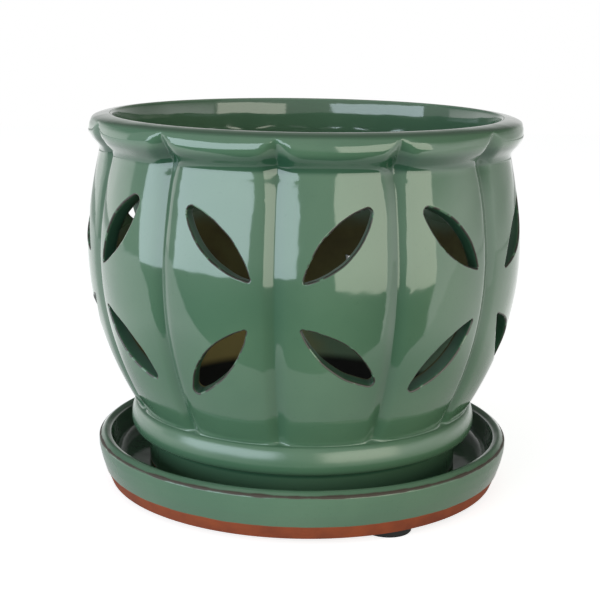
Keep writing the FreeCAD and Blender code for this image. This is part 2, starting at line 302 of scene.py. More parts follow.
def next_ring(mesh, edges, place):
    """Extrude a loop of edges once and put its new points where place says."""
    made = bmesh.ops.extrude_edge_only(mesh, edges=edges)["geom"]
    fresh = {item for item in made if isinstance(item, bmesh.types.BMVert)}
    for vert in fresh:
        place(vert)
    return [item for item in made if isinstance(item, bmesh.types.BMEdge) and fresh.issuperset(item.verts)]


def strip(index, low, high, rows, put):
    """One lobe's stretch of wall with no slot in it."""
    middle = HALF_LOBE * (2 * index + 1)
    for vert in bmesh.ops.create_grid(pot, x_segments=COLUMNS, y_segments=rows, size=1)["verts"]:
        put(vert, middle + crowd(vert.co.x) * HALF_LOBE, mix(low, high, (vert.co.y + 1) / 2))


# %% [markdown]
# ## The leaf-shaped slots
# The slots were cut by hand with a template while the clay was soft: no two are quite alike, and the tip
# towards the middle of each cross is sharper than the outer one. The outline is a spine of two shallow bows
# that is thickened outwards, so one number sets how round each tip is. The slots that the picture shows have
# their own measured place, lean and length. Small seeded differences keep the others from looking stamped.

# %% One slot in its tile
SLOT_LENGTH = 38.5
SLOT_WIDTH = 11.6
SLOT_LEAN = math.radians(45)
SLOT_HEIGHTS = (66.7, 112.7)
SHARP_TIP = 0.6
ROUND_TIP = 2.2
TILE_EDGES = (44.0, 89.7, 135.7)
TIP_FAN = 4
chance = random.Random(7)

KNIFE_SWAY = 0.25
KNIFE_NICK = 0.07

# Lobe and level of the slots that the picture shows: shift along the wall, rise, lean in degrees and length
MEASURED = {
    (0, 0): (-1.6, 2.1, 51.0, 38.4), (0, 1): (-0.1, 0.2, 43.0, 38.0), (1, 0): (0.5, -1.1, 44.5, 38.6),
    (1, 1): (-0.9, 0.4, 46.7, 37.5), (2, 0): (-0.5, -2.4, 44.0, 38.6), (2, 1): (1.2, -1.3, 45.0, 38.4),
    (10, 0): (0.2, -1.0, 45.0, 38.2), (10, 1): (-2.6, -0.8, 40.0, 38.8), (11, 0): (0.2, -2.0, 40.0, 39.8),
    (11, 1): (-1.8, -0.5, 46.0, 37.6), (4, 0): (0.0, -3.0, 44.0, 37.4), (5, 0): (-0.4, -4.2, 44.0, 36.8),
    (8, 1): (-1.6, -1.4, 46.0, 35.6)}


def border(number):
    """Where a ring's point starts on the border of its tile, from -1 to 1 across and up."""
    side, along = divmod(number, COLUMNS + SIDE_ROWS)
    if along < COLUMNS:
        x, y = crowd(1 - 2 * along / COLUMNS), 1
    else:
        x, y = -1, 1 - 2 * (along - COLUMNS) / SIDE_ROWS
    return (-x, -y) if side else (x, y)


def leaf(number, length, width, lean, tips):
    """A point on the leaf's spine, the way out from it and how far out the edge lies."""
    side, along = divmod(number, RING // 2)
    axis = Vector((math.sin(lean), math.cos(lean)))
    left = Vector((-math.cos(lean), math.sin(lean)))
    near_tip, far_tip = tips
    if side:
        axis, left = -axis, -left
        near_tip, far_tip = far_tip, near_tip
    bow = width / 2 - (near_tip + far_tip) / 2
    near, far = length / 2 - near_tip, length / 2 - far_tip
    reach = (near + far) / 2
    fan = math.atan2(reach, 2 * bow)

    def progress(step):
        if step < COLUMNS:
            return (1 - crowd(1 - 2 * step / COLUMNS)) / 4
        return 0.5 + (step - COLUMNS) / (2 * SIDE_ROWS)

    last = RING // 2 - TIP_FAN
    if along < TIP_FAN:
        turn = fan * along / TIP_FAN
        return axis * near, axis * math.cos(turn) + left * math.sin(turn), near_tip
    if along > last:
        turn = fan * (RING // 2 - along) / TIP_FAN
        return axis * -far, axis * -math.cos(turn) + left * math.sin(turn), far_tip
    t = 1 - 2 * (progress(along) - progress(TIP_FAN)) / (progress(last) - progress(TIP_FAN))
    point = left * (bow * (1 - t * t)) + axis * (reach * t + (near - far) / 2)
    out = (left * reach + axis * (2 * bow * t)).normalized()
    return point, out, mix(far_tip, near_tip, (t + 1) / 2)


def slot_tile(index, level):
    """A tile of one lobe with its slot: outer skin, lip, cut face and inner skin."""
    middle = HALF_LOBE * (2 * index + 1)
    hand = (1 if index % 2 == 0 else -1) * (1 if level else -1)
    low, high = TILE_EDGES[level], TILE_EDGES[level + 1]
    rise = chance.uniform(-0.6, 0.6)
    shift = chance.uniform(-0.6, 0.6)
    tips = [ROUND_TIP, SHARP_TIP] if level else [SHARP_TIP, ROUND_TIP]
    tips = [tip * chance.uniform(0.85, 1.15) for tip in tips]
    length = SLOT_LENGTH * chance.uniform(0.97, 1.02)
    width = SLOT_WIDTH * chance.uniform(0.95, 1.05)
    lean = SLOT_LEAN + math.radians(chance.uniform(-2.5, 2.5))
    cut = chance.uniform(0, 100)
    if (index, level) in MEASURED:
        shift, rise, lean, length = MEASURED[index, level]
        lean = math.radians(lean)
    height = SLOT_HEIGHTS[level] + rise
    slope = math.atan((swelling(height + 1) - swelling(height - 1)) / 2)
    outer_radius = swelling(height)
    inner_radius = outer_radius - WALL * math.cos(slope)
    points = [leaf(number, length, width, lean, tips) for number in range(RING)]

    def at(number, offset, through=0):
        """Angle and height of a point beside the slot's edge, on the outer skin or the inner one."""
        spine, out, tip = points[number]
        sway = noise.noise(Vector((spine.x / 7, spine.y / 7, cut)))
        nick = noise.noise(Vector((spine.x / 2.2, spine.y / 2.2, cut)))
        x, y = spine + out * (tip + offset + (KNIFE_SWAY * sway + KNIFE_NICK * nick))
        radius = inner_radius if through else outer_radius
        lift = WALL * math.sin(slope) if through else 0
        return middle + hand * (x + shift) / radius, height + y * math.cos(slope) + lift

    def edge_of_tile(number):
        x, y = border(number)
        return middle + hand * x * HALF_LOBE, mix(low, high, (y + 1) / 2)

    def between(start, end, share):
        return [mix(a, b, share) for a, b in zip(start, end)]

    ring = bmesh.ops.create_circle(pot, segments=RING, radius=1)["verts"]
    for number, vert in enumerate(ring):
        vert[spot] = number
        put_on_wall(vert, *edge_of_tile(number))
    edges = list(dict.fromkeys(edge for vert in ring for edge in vert.link_edges))
    chain_of_rings(edges, edge_of_tile, at, between)


# %% From the outer skin through the slot to the inner skin
OUTER_RINGS = 12
INNER_RINGS = 4
SKIN_CROWDING = 1.8
LINING_CROWDING = 1.3
MARGIN = 0.9
LIP_ROUNDING = 0.8
INNER_ROUNDING = 0.8
LIP_BROWN = 0.35
INNER_EDGE_BROWN = 0.75
QUARTER_TURN = [math.radians(angle) for angle in (0, 22.5, 45, 67.5, 90)]


def chain_of_rings(edges, edge_of_tile, at, between):
    """The chain of rings of one tile, from its border on the outer skin to its border inside."""
    def skin(share):
        def place(vert):
            number = vert[spot]
            put_on_wall(vert, *between(edge_of_tile(number), at(number, MARGIN), share))
        return place

    def through(offset, depth, brown):
        def place(vert):
            number = vert[spot]
            out_angle, out_height = at(number, offset)
            in_angle, in_height = at(number, offset, through=1)
            outer = clay(wall_radius(out_angle, out_height), out_angle, out_height)
            inward = clay(inner(in_height), in_angle, in_height)
            vert.co = outer.lerp(inward, depth / WALL)
            vert[thin] = brown
            vert[pool] = 0
            vert[inside] = depth / WALL
        return place

    def lining(share):
        def place(vert):
            number = vert[spot]
            put_inside(vert, *between(at(number, INNER_ROUNDING, through=1), edge_of_tile(number), share))
            vert[thin] = 0
        return place

    for step in range(1, OUTER_RINGS + 1):
        edges = next_ring(pot, edges, skin((step / OUTER_RINGS) ** SKIN_CROWDING))
    for angle in QUARTER_TURN:
        offset, depth = LIP_ROUNDING * (1 - math.sin(angle)), LIP_ROUNDING * (1 - math.cos(angle))
        brown = LIP_BROWN + (1 - LIP_BROWN) * math.sin(2 * angle)
        edges = next_ring(pot, edges, through(offset, depth, brown))
    for depth in (0.3, 0.55, 0.8):
        edges = next_ring(pot, edges, through(0, depth * WALL, 0))
    for angle in QUARTER_TURN[2:]:
        offset = INNER_ROUNDING * (1 - math.cos(angle))
        depth = WALL - INNER_ROUNDING * (1 - math.sin(angle))
        edges = next_ring(pot, edges, through(offset, depth, INNER_EDGE_BROWN))
    for step in range(1, INNER_RINGS + 1):
        edges = next_ring(pot, edges, lining((step / INNER_RINGS) ** LINING_CROWDING))


# %% [markdown]
# ## Putting the wall together
# Twelve lobes, each with a plain strip at its foot, two slot tiles and a strip for the neck and collar. They
# share the points of their borders, so merging doubles sews them into one skin with an open rim at each end,
# inside and out.

# %% Strips, tiles and the skin
FOOT_ROWS = 12
INNER_FOOT_ROWS = 6
COLLAR_ROWS = 26
MOUTH_ROWS = 12
for index in range(LOBES):
    strip(index, CREASE_Z, TILE_EDGES[0], FOOT_ROWS, put_on_wall)
    strip(index, BEAD_TOP, TILE_EDGES[0], INNER_FOOT_ROWS, put_inside)
    for level in (0, 1):
        slot_tile(index, level)
    strip(index, TILE_EDGES[2], RIM_Z, COLLAR_ROWS, put_on_wall)
    strip(index, TILE_EDGES[2], MOUTH_Z, MOUTH_ROWS, put_inside)
bmesh.ops.remove_doubles(pot, verts=pot.verts, dist=MERGE)
print("points in the lobed skin", len(pot.verts), "open edges", sum(edge.is_boundary for edge in pot.edges))


def open_rim(height, radius):
    """The open loop of edges nearest a height and a radius."""
    loop = []
    for edge in pot.edges:
        if edge.is_boundary:
            middle = (edge.verts[0].co + edge.verts[1].co) / 2
            level = middle.z / MM - FOOT_Z
            if abs(level - height) < 0.05 and abs(math.hypot(middle.x, middle.y) / MM - radius) < 4:
                loop.append(edge)
    return loop


def turn_rings(edges, outline, **marks):
    """Extrude an open rim through the points of an outline, each as a ring round the axis."""
    for radius, height in outline:
        def place(vert):
            vert.co = clay(radius, angle_of(vert.co), height)
            for layer, value in marks.items():
                vert[MARKS[layer]] = value
        edges = next_ring(pot, edges, place)
    return edges


# %% [markdown]
# ## The rim and the mouth
# The rim was smoothed while the clay was wet, so it is round outside, nearly flat on top and has a small
# crisp edge inside, with a painted highlight on its top and inner edge. Extruding the skin's upper rim, ring
# by ring, along two bent lines makes that shape and meets the inner skin.

# %% Rim and mouth
rim = open_rim(RIM_Z, RIM_RADIUS)
top = bent((RIM_RADIUS, RIM_Z), (RIM_RADIUS - 1.1, RIM_Z + 1.2), (CREST_RADIUS + 1.8, POT_HEIGHT),
           (CREST_RADIUS, POT_HEIGHT), 8)
edges = turn_rings(rim, top[1:], pool=0, inside=0)
mouth = bent((CREST_RADIUS, POT_HEIGHT), (CREST_RADIUS - 1.0, POT_HEIGHT),
             (inner(MOUTH_Z) + 0.25, MOUTH_Z + 0.9), (inner(MOUTH_Z), MOUTH_Z), 8)
edges = turn_rings(edges, mouth[1:], inside=1)
print("rim edges", len(rim), "left at the mouth", len(edges))

# %% [markdown]
# ## The bead and the foot
# Below the lobes the pot is round again. Glaze fills the corner under the lobes, then come a soft bead, a
# crease and a narrow foot whose ring lifts the drain hole off the saucer; painted shade darkens the underside
# of the bead, the crease and the foot wall. It is the same work as at the rim: the skin's lower rim is
# extruded down, in under the foot, up through the drain hole and out over the floor, until it meets the inner
# skin and the pot is closed.

# %% The fillet of glaze above the bead
FILLET_END = Vector((74.6, 28.0))
FILLET_RINGS = 6


def fillet(step):
    """A ring of the glaze that fills the corner between the lobes' feet and the top of the bead."""
    def place(vert):
        angle = angle_of(vert.co)
        foot = wall_radius(angle, CREASE_Z)
        line = bent((foot, CREASE_Z), (foot - 0.15, CREASE_Z - 0.35), FILLET_END + Vector((-0.5, 0.05)),
                    FILLET_END, FILLET_RINGS)
        vert.co = clay(line[step][0], angle, line[step][1])
        vert[pool] = 0.5
    return place


edges = open_rim(CREASE_Z, LOBE_FOOT_RADIUS)
print("edges at the lobes' feet", len(edges))
for step in range(1, FILLET_RINGS + 1):
    edges = next_ring(pot, edges, fillet(step))

# %% The bead and the crease under it
BEAD_RADIUS = 76.9
FOOT_RADIUS = 69.0
BEAD_RINGS = 9
bead = bent(FILLET_END, (75.7, 27.7), (BEAD_RADIUS, 24.8), (BEAD_RADIUS, 20.8), BEAD_RINGS)
edges = turn_rings(edges, bead[1:], pool=0.1)
# Painted shade from here down: these pool values darken the underside of the bead, the crease most of all, and
# the foot wall.
under_bead = bent(bead[-1], (BEAD_RADIUS, 17.8), (BEAD_RADIUS - 1.4, 16.0), (FOOT_RADIUS + 3.6, 15.3),
                  BEAD_RINGS)
edges = turn_rings(edges, under_bead[1:], pool=0.4)
crease = bent(under_bead[-1], (FOOT_RADIUS + 1.2, 14.9), (FOOT_RADIUS, 15.0), (FOOT_RADIUS, 13.4), 5)
edges = turn_rings(edges, crease[1:], pool=1.8)
FOOT_MIDDLE = (FOOT_RADIUS, 6.0)
edges = turn_rings(edges, ((FOOT_RADIUS, 12.4), FOOT_MIDDLE), pool=0.6)

# %% The foot, the drain hole and the floor
FOOT_RING = 9.0
FOOT_RECESS = 3.0
FLOOR_Z = 11.0
DRAIN_RADIUS = 8.0
FLOOR_MIDDLE = (30.0, FLOOR_Z)
foot_edge = rounded((
    (*FOOT_MIDDLE, 0), (FOOT_RADIUS, 0, 1.5), (FOOT_RADIUS - FOOT_RING, 0, 1.0),
    (FOOT_RADIUS - FOOT_RING - 0.5, FOOT_RECESS, 1.0), (DRAIN_RADIUS, FOOT_RECESS, 1.0),
    (DRAIN_RADIUS, FLOOR_Z, 1.2), (DRAIN_RADIUS + 1.5, FLOOR_Z, 0)), 22)
edges = turn_rings(edges, foot_edge[1:], pool=0)
edges = turn_rings(edges, ((DRAIN_RADIUS + 2.2, FLOOR_Z), FLOOR_MIDDLE), inside=1)

# %% The inner corner
INNER_CORNER = 16.0
QUARTER_ARC_AIM = 0.5523
side_radius = swelling(BEAD_TOP) - WALL
floor_radius = side_radius - INNER_CORNER
corner = bent((floor_radius, FLOOR_Z), (floor_radius + INNER_CORNER * QUARTER_ARC_AIM, FLOOR_Z),
              (side_radius, mix(BEAD_TOP, FLOOR_Z, QUARTER_ARC_AIM)), (side_radius, BEAD_TOP), 6)
turn_rings(edges, corner, inside=1)
bmesh.ops.remove_doubles(pot, verts=pot.verts, dist=MERGE)
print("open edges left", sum(edge.is_boundary for edge in pot.edges))


# %% [markdown]
# ## From a mesh to a piece
# A finished bmesh becomes an object that sits at the origin, unturned, with its place in its mesh. Its faces
# are turned outwards first, because extruding open rims leaves some the wrong way round.

# %% From a bmesh to a piece
def make_piece(mesh, name):
    """Turn a finished bmesh into an object with smooth shading and faces that point outwards."""
    bmesh.ops.recalc_face_normals(mesh, faces=mesh.faces)
    data = bpy.data.meshes.new(name)
    mesh.to_mesh(data)
    mesh.free()
    data.shade_smooth()
    piece = bpy.data.objects.new(name, data)
    bpy.context.scene.collection.objects.link(piece)
    triangles = sum(len(face.vertices) - 2 for face in data.polygons)
    print(name, "triangles", triangles)
    return piece


pot_piece = make_piece(pot, "glazed_pot")

# %% [markdown]
# ## The saucer
# The saucer was turned on a wheel, so its outline is spun once round the axis. The outline carries the small
# things that the eye looks for: the bare clay band that leans in at the base, the step where the glaze
# starts, the hard edge at the outside of the rim where the glaze breaks to brown, and the soft inner side.

# %% Spin the saucer
SAUCER_RADIUS = 91.5
SAUCER_BASE_RADIUS = 86.2
BARE_BAND = 5.7
SAUCER_FLOOR = 6.5
RIM_EDGE = (91.0, 19.5)
SPIN_STEPS = 240
SAUCER_UNEVENNESS = 0.3


def lathe(outline, name, unevenness):
    """Spin an outline of (radius, height) points round the axis into a closed piece."""
    mesh = bmesh.new()
    verts = [mesh.verts.new(polar(radius, math.pi / 2, height)) for radius, height in outline]
    edges = [mesh.edges.new(pair) for pair in zip(verts, verts[1:])]
    bmesh.ops.spin(mesh, geom=verts + edges, cent=(0, 0, 0), axis=(0, 0, 1), angle=2 * math.pi,
                   steps=SPIN_STEPS, use_merge=True)
    bmesh.ops.remove_doubles(mesh, verts=mesh.verts, dist=MERGE)
    for vert in mesh.verts:
        radius = math.hypot(vert.co.x, vert.co.y)
        if radius > MM:
            angle = angle_of(vert.co)
            wave = waviness(angle, vert.co.z / MM / 60 + 3, 1.9, 0.3, 6.1)
            factor = 1 - unevenness * wave * MM / radius
            vert.co.x *= factor
            vert.co.y *= factor
    return make_piece(mesh, name)


saucer_outline = rounded((
    (0, 0, 0), (SAUCER_BASE_RADIUS, 0, 0.7), (88.45, BARE_BAND, 0.1), (88.8, BARE_BAND + 0.2, 0.15),
    (90.4, 11.0, 12.0), (91.4, 15.6, 8.0), (SAUCER_RADIUS, 18.7, 0.9), (*RIM_EDGE, 0.5), (88.8, 21.35, 1.8),
    (85.9, 20.5, 1.9), (84.3, SAUCER_FLOOR, 6.5), (40.0, SAUCER_FLOOR, 0), (0, SAUCER_FLOOR, 0)), 10)
saucer_piece = lathe([(radius, SAUCER_Z + height) for radius, height in saucer_outline], "glazed_saucer",
                     SAUCER_UNEVENNESS)

# %% [markdown]
# ## Materials in a few words
# Shader maths reads best as maths. One small class wraps a socket, so that 1 - mask or height * 3 adds the
# right node, and one method makes any other node from its type, its settings and its inputs.

# %% Node helpers
class Value:
    """A socket that can be used in sums."""

    def __init__(self, nodes, socket):
        self.nodes = nodes
        self.socket = socket

    def maths(self, operation, *values):
        return self.nodes.add("ShaderNodeMath", {"operation": operation}, dict(enumerate(values)))

    def __add__(self, other):
        return self.maths("ADD", self, other)

    __radd__ = __add__

    def __sub__(self, other):
        return self.maths("SUBTRACT", self, other)

    def __rsub__(self, other):
        return self.maths("SUBTRACT", other, self)

    def __mul__(self, other):
        return self.maths("MULTIPLY", self, other)

    __rmul__ = __mul__


class Nodes:
    """The node tree of one material or of the world."""

    def __init__(self, tree):
        self.tree = tree

    def add(self, kind, settings, inputs, output=0):
        """Any node: its settings are made first, then its inputs are set or linked."""
        node = self.tree.nodes.new(kind)
        for name, value in settings.items():
            setattr(node, name, value)
        for name, value in inputs.items():
            self.feed(node.inputs[name], value)
        return Value(self, node.outputs[output])

    def feed(self, socket, value):
        if isinstance(value, Value):
            self.tree.links.new(value.socket, socket)
        elif socket.type == "RGBA" and len(value) == 3:
            socket.default_value = (*value, 1)
        else:
            socket.default_value = value

    def blend(self, share, low, high):
        """A colour between two colours."""
        return self.add("ShaderNodeMix", {"data_type": "RGBA"}, {0: share, 6: low, 7: high}, 2)

    def ramp(self, value, start, end):
        """0 before start, 1 after end and a smooth step between them."""
        return self.add("ShaderNodeMapRange", {"interpolation_type": "SMOOTHSTEP"},
                        {"Value": value, "From Min": start, "From Max": end})

    def noise(self, place, scale, detail=3.0, stretch=None):
        if stretch:
            place = self.add("ShaderNodeMapping", {}, {"Vector": place, "Scale": stretch})
        return self.add("ShaderNodeTexNoise", {}, {"Vector": place, "Scale": scale, "Detail": detail})

    def attribute(self, name):
        return self.add("ShaderNodeAttribute", {"attribute_name": name}, {}, "Fac")

    def place(self):
        return self.add("ShaderNodeTexCoord", {}, {}, "Object")


def srgb(*levels):
    """A colour as a shader needs it, from the 0 to 255 levels that a screen shows."""
    return tuple(((v / 255 + 0.055) / 1.055) ** 2.4 if v > 10 else v / 255 / 12.92 for v in levels)


def new_finish(name, **fixed):
    """A material whose even values are set straight on the shader's sockets."""
    material = bpy.data.materials.new(name)
    material.use_nodes = True
    shader = material.node_tree.nodes["Principled BSDF"]
    for socket, value in fixed.items():
        shader.inputs[socket.replace("_", " ")].default_value = value
    return material, Nodes(material.node_tree), shader


# %% [markdown]
# ## The glaze
# A celadon glaze is a layer of green glass. It runs thin over edges, pools darker in hollows and breaks to
# brown where an edge is sharp; the paler top and inner edge of the rim are a painted highlight. Below a
# wavering line the clay is bare, and so is the inside of the pot under its neck, where damp has stained it; on
# that lining a pale band is painted light and a near-black band above the floor is painted shade. The mesh
# carries how sharp each place is and how deep it lies in a groove, and also painted shade under the bead, in
# the crease and on the foot wall, so the colour follows the shape. Painted shade also darkens the underside of
# the collar and the slots' cut faces, a paler inside is painted light, and slow noise adds the drift of the
# kiln.

# %% Glaze colours and the two glazed finishes
GREEN = srgb(76, 108, 84)
DEEP_GREEN = srgb(42, 76, 57)
PALE_GREEN = srgb(88, 118, 92)
BROWN = srgb(32, 19, 12)
EDGE_BROWN = srgb(48, 30, 18)
PAINTED_LIP_HIGHLIGHT = srgb(150, 178, 152)
TERRACOTTA = srgb(144, 64, 24)
TERRACOTTA_DARK = srgb(120, 50, 18)
LINING = srgb(92, 88, 48)
LINING_DARK = srgb(76, 68, 34)
PAINTED_LIGHT_TAN = srgb(184, 166, 104)
PAINTED_LIGHT_GREEN = srgb(128, 156, 128)
PAINTED_CORNER_SHADE = srgb(12, 14, 11)
GLAZE_IOR = 1.6
POT_ROUGHNESS = 0.07
SAUCER_ROUGHNESS = 0.09

# How much rougher than the glaze each of these places is
BARE_CLAY = 0.85
CUT_FACE = 0.3
BROWN_EDGE = 0.3
BROWN_RIM = 0.6
BEAD_BLUR = 0.15


def height_of(nodes, place):
    """Height above the table in millimetres."""
    return nodes.add("ShaderNodeSeparateXYZ", {}, {"Vector": place}, "Z") * (1 / MM)


def glaze_colour(nodes, place, pooled_and_shaded):
    """Green glass over clay: it drifts slowly, darkens where the glaze pools and where shade is painted, and
    is faintly speckled.
    """
    drift = nodes.ramp(nodes.noise(place, 22.0), 0.35, 0.65)
    speckle = nodes.noise(place, 900.0, 2.0)
    colour = nodes.blend(drift * 0.5, GREEN, PALE_GREEN)
    colour = nodes.blend(pooled_and_shaded, colour, DEEP_GREEN)
    return nodes.blend(nodes.ramp(speckle, 0.62, 0.75) * 0.12, colour, DEEP_GREEN)


def glaze_bump(nodes, place, bare):
    """The slow waves of thick glaze, and the grit of the clay where it is bare."""
    waves = nodes.noise(place, 38.0, 1.0) * 0.45 + nodes.noise(place, 140.0, 1.0) * 0.06
    grit = nodes.noise(place, 1600.0, 3.0) * bare * 0.03
    return nodes.add("ShaderNodeBump", {}, {"Height": waves + grit, "Strength": 1.0, "Distance": MM})


def lining_colour(nodes, place, height, wander):
    """Stained bare clay: brown high up, then a band of painted light, tan or greenish across the pot, and
    below it near-black painted shade down to the brown floor.
    """
    colour = nodes.blend(nodes.ramp(nodes.noise(place, 60.0), 0.3, 0.7), LINING_DARK, LINING)
    # Painted light: a pale band low on the inner wall, tan on the -X side and greenish on the +X side.
    painted_light_band = nodes.ramp(height + wander * 6, 62, 46)
    across = nodes.add("ShaderNodeSeparateXYZ", {}, {"Vector": place}, "X")
    tint_across = across + nodes.noise(place, 30.0, 3.0) * 0.05
    pale = nodes.blend(nodes.ramp(tint_across, 0.006, 0.034), PAINTED_LIGHT_TAN, PAINTED_LIGHT_GREEN)
    colour = nodes.blend(painted_light_band, colour, pale)
    # Painted shade: near-black on the lowest inner wall and its corner, above the floor.
    colour = nodes.blend(nodes.ramp(height, 31, 27), colour, PAINTED_CORNER_SHADE)
    return nodes.blend(nodes.ramp(height, FLOOR_Z + 3, FLOOR_Z + 0.5), colour, LINING_DARK)


def pot_finish():
    """Glaze outside and in the mouth, bare clay inside and under the foot, brown on the slots' lips."""
    material, nodes, shader = new_finish("pot_glaze", IOR=GLAZE_IOR)
    place = nodes.place()
    height = height_of(nodes, place) - FOOT_Z
    wander = nodes.noise(place, 45.0, 2.0)
    within = nodes.attribute("inside")
    lining = nodes.ramp(within, 0.75, 0.95) * nodes.ramp(height + wander * 14, 112, 96)
    foot = nodes.ramp(height + wander * 1.2, 1.9, 1.5) * (1 - within)
    bare = nodes.add("ShaderNodeMath", {"operation": "MAXIMUM"}, {0: lining, 1: foot})
    # Painted shade: the neck and the underside of the collar are darkened.
    painted_collar_shade = nodes.ramp(height, NECK_Z - 1.1, NECK_Z + 1.4) * nodes.ramp(height, COLLAR_Z - 0.6, COLLAR_Z - 3.6)
    # The slots' cut faces are rougher and darker: partly the dark clay there, partly painted shade.
    cut_face = nodes.ramp(within, 0.08, 0.2) * nodes.ramp(within, 0.99, 0.9)
    bead_share = nodes.ramp(height, FILLET_END.y + 0.8, FILLET_END.y - 0.4) * (1 - within)
    # Darker where the glaze pools in the grooves, plus painted shade under the bead, in the crease, on the
    # foot wall, under the collar and on the cut faces.
    pooled_and_shaded = nodes.attribute("pool") * 0.5 + painted_collar_shade * (1 - within) * 0.7 + cut_face
    colour = glaze_colour(nodes, place, pooled_and_shaded)
    # Painted light: the inside of the wall is made paler green, except on the cut faces.
    colour = nodes.blend(within * 0.2 * (1 - cut_face), colour, PALE_GREEN)
    # Painted highlight: the top of the rim and its inner edge are made paler.
    colour = nodes.blend(nodes.ramp(height, MOUTH_Z + 0.6, MOUTH_Z + 1.3) * 0.5, colour, PAINTED_LIP_HIGHLIGHT)
    brown = nodes.attribute("thin") * nodes.ramp(nodes.noise(place, 260.0, 3.0), 0.3, 0.5)
    rough_edge = nodes.ramp(brown, 0.3, 0.75)
    colour = nodes.blend(rough_edge * 0.95, colour, BROWN)
    colour = nodes.blend(lining, colour, lining_colour(nodes, place, height, wander))
    colour = nodes.blend(foot, colour, TERRACOTTA)
    roughness = POT_ROUGHNESS + bare * BARE_CLAY + cut_face * CUT_FACE
    nodes.feed(shader.inputs["Base Color"], colour)
    nodes.feed(shader.inputs["Roughness"], roughness + rough_edge * BROWN_EDGE + bead_share * BEAD_BLUR)
    nodes.feed(shader.inputs["Normal"], glaze_bump(nodes, place, bare))
    return material


def saucer_finish():
    """Glaze down to a wavering line, bare clay under it, and brown along the hard edge of the rim."""
    material, nodes, shader = new_finish("saucer_glaze", IOR=GLAZE_IOR)
    place = nodes.place()
    height = height_of(nodes, place) - SAUCER_Z
    flat = nodes.add("ShaderNodeVectorMath", {"operation": "MULTIPLY"}, {0: place, 1: (1, 1, 0)})
    radius = nodes.add("ShaderNodeVectorMath", {"operation": "LENGTH"}, {0: flat}, 1) * (1 / MM)
    wander = nodes.noise(place, 60.0, 3.0)
    bare = nodes.ramp(height + wander * 1.2, BARE_BAND + 1.05, BARE_BAND + 0.75)
    # Painted shade: the saucer's floor and the foot of its inner wall, under the pot, are darkened.
    pooled_and_shaded = nodes.ramp(height, 15.0, 8.0) * nodes.ramp(radius, 87.0, 85.0) * 0.3
    colour = glaze_colour(nodes, place, pooled_and_shaded)
    off_edge = nodes.add("ShaderNodeVectorMath", {"operation": "DISTANCE"}, {
        0: nodes.add("ShaderNodeCombineXYZ", {}, {"X": radius, "Y": height}), 1: (*RIM_EDGE, 0)}, 1)
    broken = nodes.noise(place, 120.0, 4.0, (1, 1, 0.3))
    brown = nodes.ramp(off_edge + broken * 1.6, 1.85, 1.15)
    colour = nodes.blend(brown * 0.95, colour, EDGE_BROWN)
    blotch = nodes.ramp(nodes.noise(place, 70.0, 4.0), 0.3, 0.7)
    colour = nodes.blend(bare, colour, nodes.blend(blotch, TERRACOTTA_DARK, TERRACOTTA))
    nodes.feed(shader.inputs["Base Color"], colour)
    nodes.feed(shader.inputs["Roughness"], SAUCER_ROUGHNESS + bare * BARE_CLAY + brown * BROWN_RIM)
    nodes.feed(shader.inputs["Normal"], glaze_bump(nodes, place, bare))
    return material


def rubber_finish():
    """Matt black rubber with a little dust on it."""
    material, nodes, shader = new_finish("black_rubber", IOR=1.45)
    place = nodes.place()
    dust = nodes.noise(place, 400.0, 3.0)
    colour = nodes.blend(nodes.ramp(dust, 0.45, 0.75), srgb(9, 9, 9), srgb(22, 22, 20))
    nodes.feed(shader.inputs["Base Color"], colour)
    nodes.feed(shader.inputs["Roughness"], 0.55 + dust * 0.3)
    grain = nodes.add("ShaderNodeBump", {}, {
        "Height": nodes.noise(place, 2500.0, 2.0), "Strength": 0.3, "Distance": 0.1 * MM})
    nodes.feed(shader.inputs["Normal"], grain)
    return material


pot_piece.data.materials.append(pot_finish())
saucer_piece.data.materials.append(saucer_finish())

# %% [markdown]
# ## The pads
# The three stick-on rubber pads are right as the solids have them, so they stay and only get a material.

# %% Pads
rubber = rubber_finish()
PADS = ("pad_front_right", "pad_back", "pad_left")
for name in PADS:
    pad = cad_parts[name]
    pad.data.materials.clear()
    pad.data.materials.append(rubber)
print("pads made of rubber:", len(PADS))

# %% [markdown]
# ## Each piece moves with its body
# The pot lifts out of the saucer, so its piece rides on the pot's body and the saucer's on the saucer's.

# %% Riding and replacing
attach(pot_piece, "pot")
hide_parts("pot")
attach(saucer_piece, "saucer")
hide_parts("saucer")
print("pieces on their bodies:", pot_piece.name, "and", saucer_piece.name)

# %% [markdown]
# ## The studio
# A white floor, a plain surround that the camera sees as white, and two soft window-like lamps. The glaze
# reflects all of them, so their places matter more than their strength: the large one stands to the left of
# the camera and low enough to fill the front of the lobes, and the small one stands to the right. In the
# glaze alone the surround is a dim room in front and a paler one at the sides, which draws the lobes' flanks.

# %% Floor
VIEW_AZIMUTH = math.radians(7.3)
BOARD_FRONT = 0.152
BOARD_BACK = 1.6
BOARD_HALF_WIDTH = 1.2
floor_mesh = bmesh.new()
bmesh.ops.create_grid(floor_mesh, x_segments=1, y_segments=1, size=1)
for vert in floor_mesh.verts:
    vert.co = Vector((vert.co.x * BOARD_HALF_WIDTH, BOARD_BACK if vert.co.y > 0 else -BOARD_FRONT, 0))
bmesh.ops.rotate(floor_mesh, verts=floor_mesh.verts, cent=(0, 0, 0),
                 matrix=Matrix.Rotation(VIEW_AZIMUTH, 3, "Z"))
floor_piece = make_piece(floor_mesh, "floor")
floor_material, floor_nodes, floor_shader = new_finish(
    "white_floor", Base_Color=(0.8, 0.8, 0.8, 1), Roughness=1.0)
floor_shader.inputs["Specular IOR Level"].default_value = 0
floor_shader.inputs["Emission Color"].default_value = (1, 1, 1, 1)
FLOOR_TO_CAMERA = 0.75
FLOOR_IN_GLAZE = 0.3
FAR_FLOOR_IN_GLAZE = 0.75


